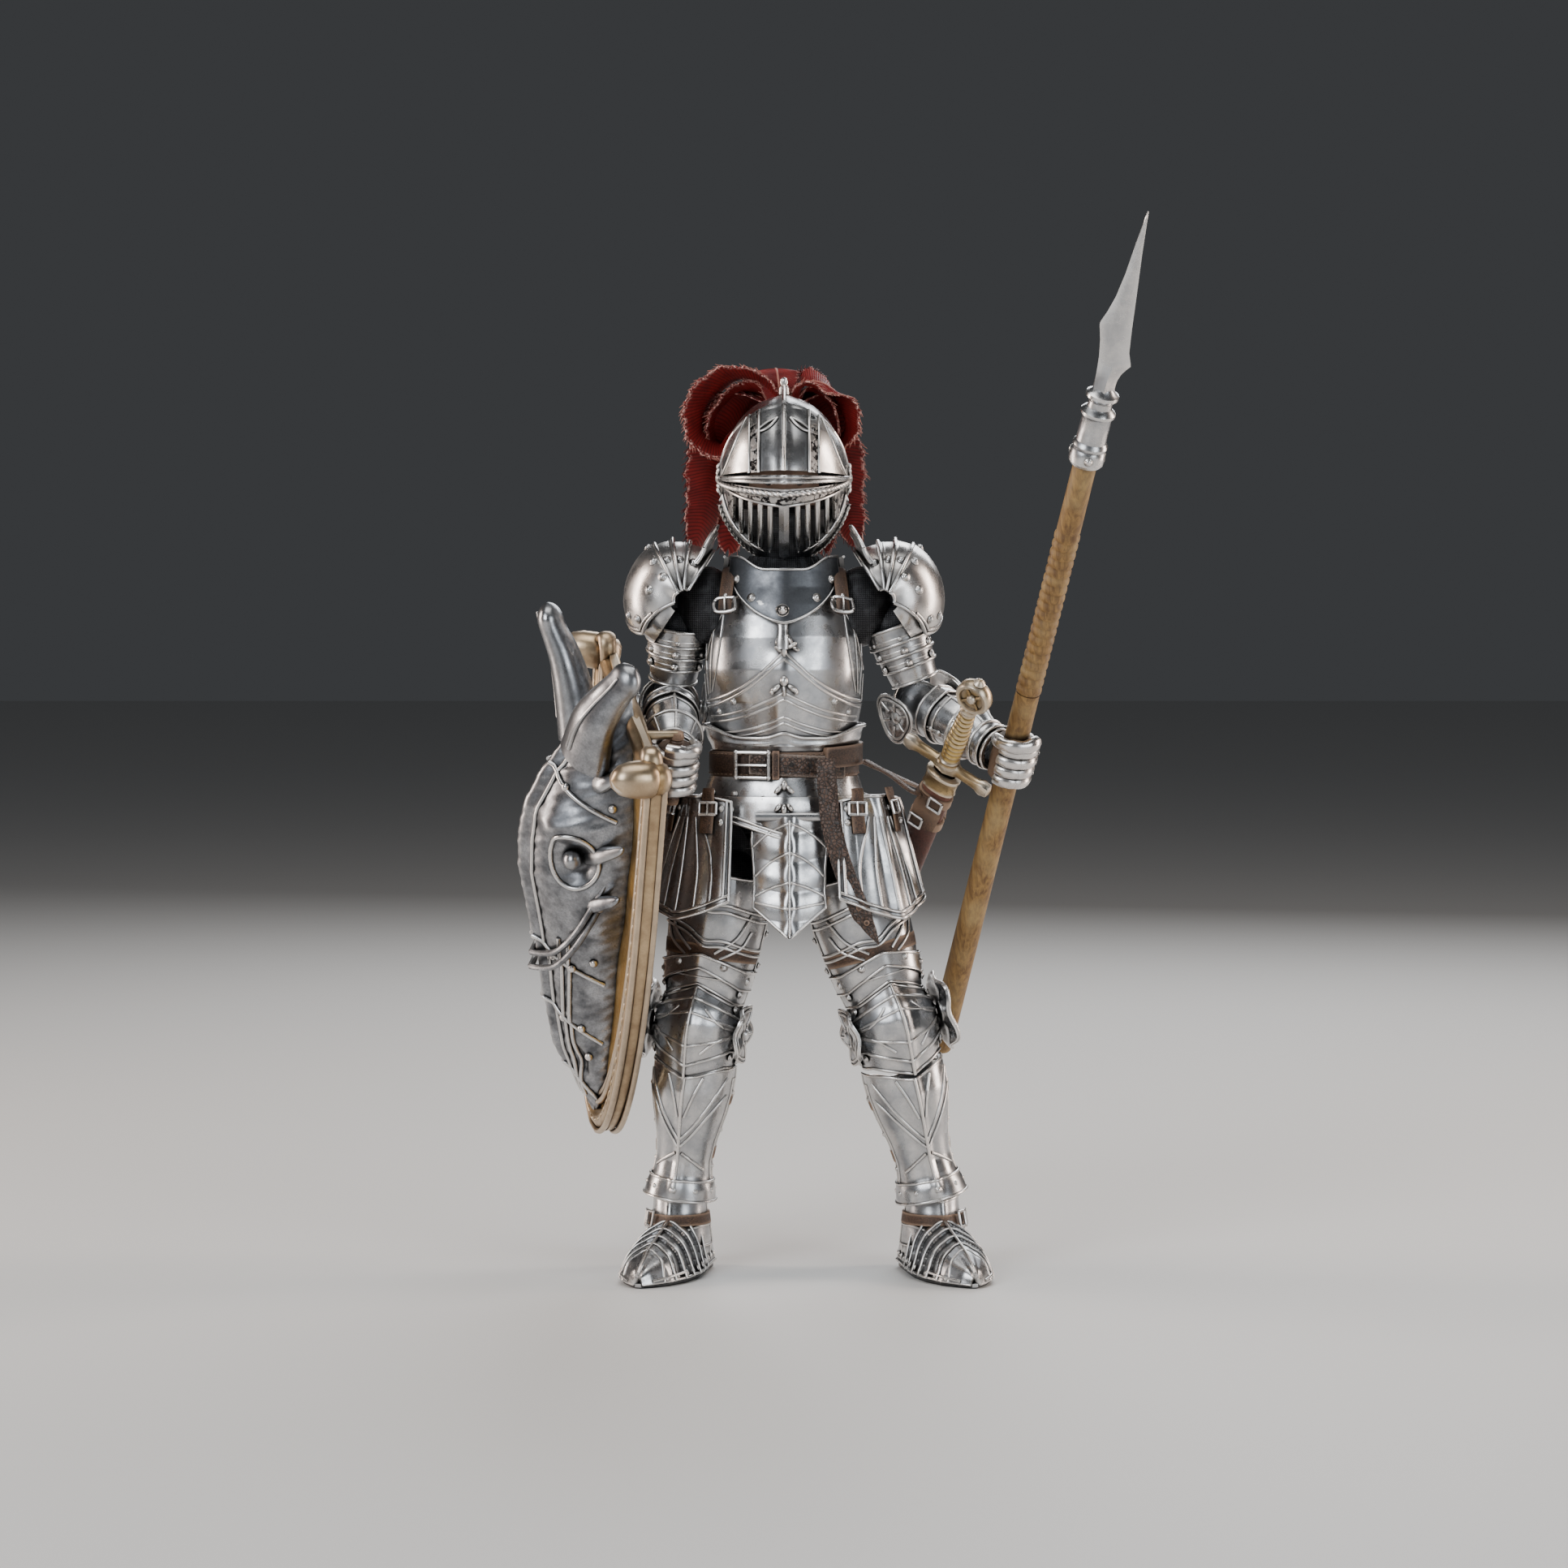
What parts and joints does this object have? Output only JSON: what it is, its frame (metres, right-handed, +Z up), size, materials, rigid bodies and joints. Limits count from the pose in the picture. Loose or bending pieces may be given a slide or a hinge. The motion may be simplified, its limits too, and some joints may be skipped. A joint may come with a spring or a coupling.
{
  "type": "action figure",
  "caption": "Posable knight action figure in plate armour with closing helm, red plume, belted sword, heater shield and barbed spear.",
  "frame": {"origin": "on the ground between the feet, under the helmet pivot line and the middle of the waist", "axes": "+Z up, the figure faces -Y, its left hand on the +X side"},
  "size_m": [0.1104, 0.0948, 0.1919],
  "materials": {
    "steel": "satin",
    "dark_steel": "satin",
    "bronze": "satin",
    "leather": "satin",
    "plume_red": "matte",
    "joint_grey": "matte",
    "skin": "matte",
    "spear_wood": "satin"
  },
  "bodies": {
    "hips": {"pelvis_block": "joint_grey", "belt": "leather", "belt_buckle": "steel", "fauld": "steel"},
    "belt_tail": {"belt_tail": "leather"},
    "groin_plate": {"groin_plate": "steel"},
    "right_tasset": {"right_tasset": "steel"},
    "left_tasset": {"left_tasset": "steel"},
    "torso": {"torso_core": "dark_steel", "breastplate": "steel", "backplate": "steel", "gorget": "dark_steel", "chest_boss": "steel"},
    "neck": {"neck_post": "joint_grey"},
    "head": {"head": "skin", "helmet_skull": "steel", "plume": "plume_red", "visor_pins": "steel"},
    "visor": {"visor": "steel"},
    "face_grille": {"face_grille": "steel"},
    "right_shoulder": {"right_shoulder_joint": "joint_grey"},
    "right_pauldron": {"right_pauldron": "steel"},
    "right_upper_arm": {"right_upper_arm": "steel"},
    "right_forearm": {"right_forearm": "steel", "right_couter": "steel"},
    "right_hand": {"right_gauntlet": "steel"},
    "left_shoulder": {"left_shoulder_joint": "joint_grey"},
    "left_pauldron": {"left_pauldron": "steel"},
    "left_upper_arm": {"left_upper_arm": "steel"},
    "left_forearm": {"left_forearm": "steel", "left_couter": "steel"},
    "left_hand": {"left_gauntlet": "steel"},
    "shield": {"shield_board": "bronze", "shield_rim": "bronze", "shield_relief": "dark_steel", "shield_grip": "leather"},
    "spear": {"spear_shaft": "spear_wood", "spear_head": "steel"},
    "right_hip": {"right_hip_joint": "joint_grey"},
    "right_thigh": {"right_thigh": "steel"},
    "right_knee": {"right_knee_block": "joint_grey", "right_poleyn": "steel"},
    "right_shin": {"right_greave": "steel"},
    "right_ankle": {"right_ankle_joint": "joint_grey"},
    "right_foot": {"right_sabaton": "steel"},
    "left_hip": {"left_hip_joint": "joint_grey"},
    "left_thigh": {"left_thigh": "steel"},
    "left_knee": {"left_knee_block": "joint_grey", "left_poleyn": "steel"},
    "left_shin": {"left_greave": "steel"},
    "left_ankle": {"left_ankle_joint": "joint_grey"},
    "left_foot": {"left_sabaton": "steel"},
    "scabbard": {"scabbard": "leather", "frog_strap": "leather"},
    "sword": {"sword_blade": "steel", "sword_hilt": "bronze"}
  },
  "joints": [
    {"name": "waist_twist", "type": "hinge", "parent": "hips", "child": "torso", "pos_m": [0, 0, 0.0978], "axis": [0, 0, 1], "range_deg": [0, 15]},
    {"name": "neck_turn", "type": "hinge", "parent": "torso", "child": "neck", "pos_m": [0, 0, 0.1355], "axis": [0, 0, 1], "range_deg": [-30, 30]},
    {"name": "head_nod", "type": "hinge", "parent": "neck", "child": "head", "pos_m": [0, 0, 0.1355], "axis": [1, 0, 0], "range_deg": [-8, 8]},
    {"name": "visor_lift", "type": "hinge", "parent": "head", "child": "visor", "pos_m": [0, 0, 0.147], "axis": [-1, 0, 0], "range_deg": [0, 60]},
    {"name": "grille_lift", "type": "hinge", "parent": "head", "child": "face_grille", "pos_m": [0, 0, 0.147], "axis": [-1, 0, 0], "range_deg": [0, 50]},
    {"name": "right_arm_swing", "type": "hinge", "parent": "torso", "child": "right_shoulder", "pos_m": [-0.0186, 0, 0.125], "axis": [-1, 0, 0], "range_deg": [-3, 20]},
    {"name": "right_arm_raise", "type": "hinge", "parent": "right_shoulder", "child": "right_upper_arm", "pos_m": [-0.0186, 0, 0.125], "axis": [0, 1, 0], "range_deg": [0, 50]},
    {"name": "right_pauldron_lift", "type": "hinge", "parent": "torso", "child": "right_pauldron", "pos_m": [-0.0126, 0, 0.132], "axis": [0, 1, 0], "range_deg": [0, 45]},
    {"name": "right_elbow_bend", "type": "hinge", "parent": "right_upper_arm", "child": "right_forearm", "pos_m": [-0.0212, 0.0055, 0.1055], "axis": [0.9892, 0.1046, -0.1024], "range_deg": [-18, 9]},
    {"name": "right_wrist_turn", "type": "hinge", "parent": "right_forearm", "child": "right_hand", "pos_m": [-0.02015, -0.01251, 0.09725], "axis": [0.053, -0.9078, -0.4161], "range_deg": [-10, 2]},
    {"name": "left_arm_swing", "type": "hinge", "parent": "torso", "child": "left_shoulder", "pos_m": [0.0186, 0, 0.125], "axis": [-1, 0, 0], "range_deg": [-12, 1]},
    {"name": "left_arm_raise", "type": "hinge", "parent": "left_shoulder", "child": "left_upper_arm", "pos_m": [0.0186, 0, 0.125], "axis": [0, -1, 0], "range_deg": [0, 50]},
    {"name": "left_pauldron_lift", "type": "hinge", "parent": "torso", "child": "left_pauldron", "pos_m": [0.0126, 0, 0.132], "axis": [0, -1, 0], "range_deg": [0, 45]},
    {"name": "left_elbow_bend", "type": "hinge", "parent": "left_upper_arm", "child": "left_forearm", "pos_m": [0.0258, 0.001, 0.1055], "axis": [-0.7682, -0.5588, -0.3123], "range_deg": [-2, 25]},
    {"name": "left_wrist_turn", "type": "hinge", "parent": "left_forearm", "child": "left_hand", "pos_m": [0.03708, -0.01064, 0.09859], "axis": [0.64, -0.6607, -0.3923], "range_deg": [-2, 20]},
    {"name": "shield_swivel", "type": "hinge", "parent": "right_hand", "child": "shield", "pos_m": [-0.0198, -0.0185, 0.0945], "axis": [0.0812, -0.3822, 0.9205], "range_deg": [-5, 15]},
    {"name": "spear_slide", "type": "slide", "parent": "left_hand", "child": "spear", "axis": [0.191, -0.4443, 0.8753], "range_m": [-0.008, 0.045]},
    {"name": "right_leg_swing", "type": "hinge", "parent": "hips", "child": "right_hip", "pos_m": [-0.01, 0, 0.08], "axis": [-1, 0, 0], "range_deg": [-10, 20]},
    {"name": "right_leg_spread", "type": "hinge", "parent": "right_hip", "child": "right_thigh", "pos_m": [-0.01, 0, 0.08], "axis": [0, 1, 0], "range_deg": [-6, 3]},
    {"name": "right_knee_upper", "type": "hinge", "parent": "right_thigh", "child": "right_knee", "pos_m": [-0.01518, -0.00104, 0.04867], "axis": [0.9681, -0.2079, -0.14], "range_deg": [0, 45]},
    {"name": "right_knee_lower", "type": "hinge", "parent": "right_knee", "child": "right_shin", "pos_m": [-0.01602, -0.00096, 0.04273], "axis": [0.9681, -0.2079, -0.14], "range_deg": [0, 45]},
    {"name": "right_ankle_bend", "type": "hinge", "parent": "right_shin", "child": "right_ankle", "pos_m": [-0.0194, 0.001, 0.0135], "axis": [-0.9537, 0.3007, 0], "range_deg": [-20, 15]},
    {"name": "right_ankle_tilt", "type": "hinge", "parent": "right_ankle", "child": "right_foot", "pos_m": [-0.0194, 0.001, 0.0089], "axis": [0.3007, 0.9537, 0], "range_deg": [-8, 8]},
    {"name": "right_tasset_lift", "type": "hinge", "parent": "hips", "child": "right_tasset", "pos_m": [-0.01661, -0.01026, 0.0896], "axis": [-0.766, 0.6428, 0], "range_deg": [0, 13]},
    {"name": "left_leg_swing", "type": "hinge", "parent": "hips", "child": "left_hip", "pos_m": [0.01, 0, 0.08], "axis": [-1, 0, 0], "range_deg": [-2, 10]},
    {"name": "left_leg_spread", "type": "hinge", "parent": "left_hip", "child": "left_thigh", "pos_m": [0.01, 0, 0.08], "axis": [0, -1, 0], "range_deg": [-8, 2]},
    {"name": "left_knee_upper", "type": "hinge", "parent": "left_thigh", "child": "left_knee", "pos_m": [0.01933, -0.00104, 0.049], "axis": [0.9441, 0.2111, 0.2531], "range_deg": [0, 20]},
    {"name": "left_knee_lower", "type": "hinge", "parent": "left_knee", "child": "left_shin", "pos_m": [0.02087, -0.00096, 0.0432], "axis": [0.9441, 0.2111, 0.2531], "range_deg": [0, 20]},
    {"name": "left_ankle_bend", "type": "hinge", "parent": "left_shin", "child": "left_ankle", "pos_m": [0.0276, 0.001, 0.0135], "axis": [-0.9537, -0.3007, 0], "range_deg": [-20, 15]},
    {"name": "left_ankle_tilt", "type": "hinge", "parent": "left_ankle", "child": "left_foot", "pos_m": [0.0276, 0.001, 0.0089], "axis": [-0.3007, 0.9537, 0], "range_deg": [-8, 8]},
    {"name": "left_tasset_lift", "type": "hinge", "parent": "hips", "child": "left_tasset", "pos_m": [0.01661, -0.01026, 0.0896], "axis": [-0.766, -0.6428, 0], "range_deg": [0, 35]},
    {"name": "groin_lift", "type": "hinge", "parent": "hips", "child": "groin_plate", "pos_m": [0.001, -0.0138, 0.0856], "axis": [-1, 0, 0], "range_deg": [0, 35]},
    {"name": "belt_tail_lift", "type": "hinge", "parent": "hips", "child": "belt_tail", "pos_m": [0.0068, -0.0136, 0.0936], "axis": [-0.9511, 0, -0.309], "range_deg": [0, 40]},
    {"name": "scabbard_swing", "type": "hinge", "parent": "hips", "child": "scabbard", "pos_m": [0.02732, -0.00889, 0.0881], "axis": [-1, 0, 0], "range_deg": [-6, 1]},
    {"name": "sword_draw", "type": "slide", "parent": "scabbard", "child": "sword", "axis": [0.2216, -0.7188, 0.6589], "range_m": [0, 0.045]}
  ],
  "couplings": [
    {"joint": "right_pauldron_lift", "follows": "right_arm_raise", "ratio": 0.8},
    {"joint": "left_pauldron_lift", "follows": "left_arm_raise", "ratio": 0.8},
    {"joint": "right_knee_lower", "follows": "right_knee_upper", "ratio": 1},
    {"joint": "left_knee_lower", "follows": "left_knee_upper", "ratio": 1},
    {"joint": "belt_tail_lift", "follows": "left_tasset_lift", "ratio": 1.1}
  ]
}
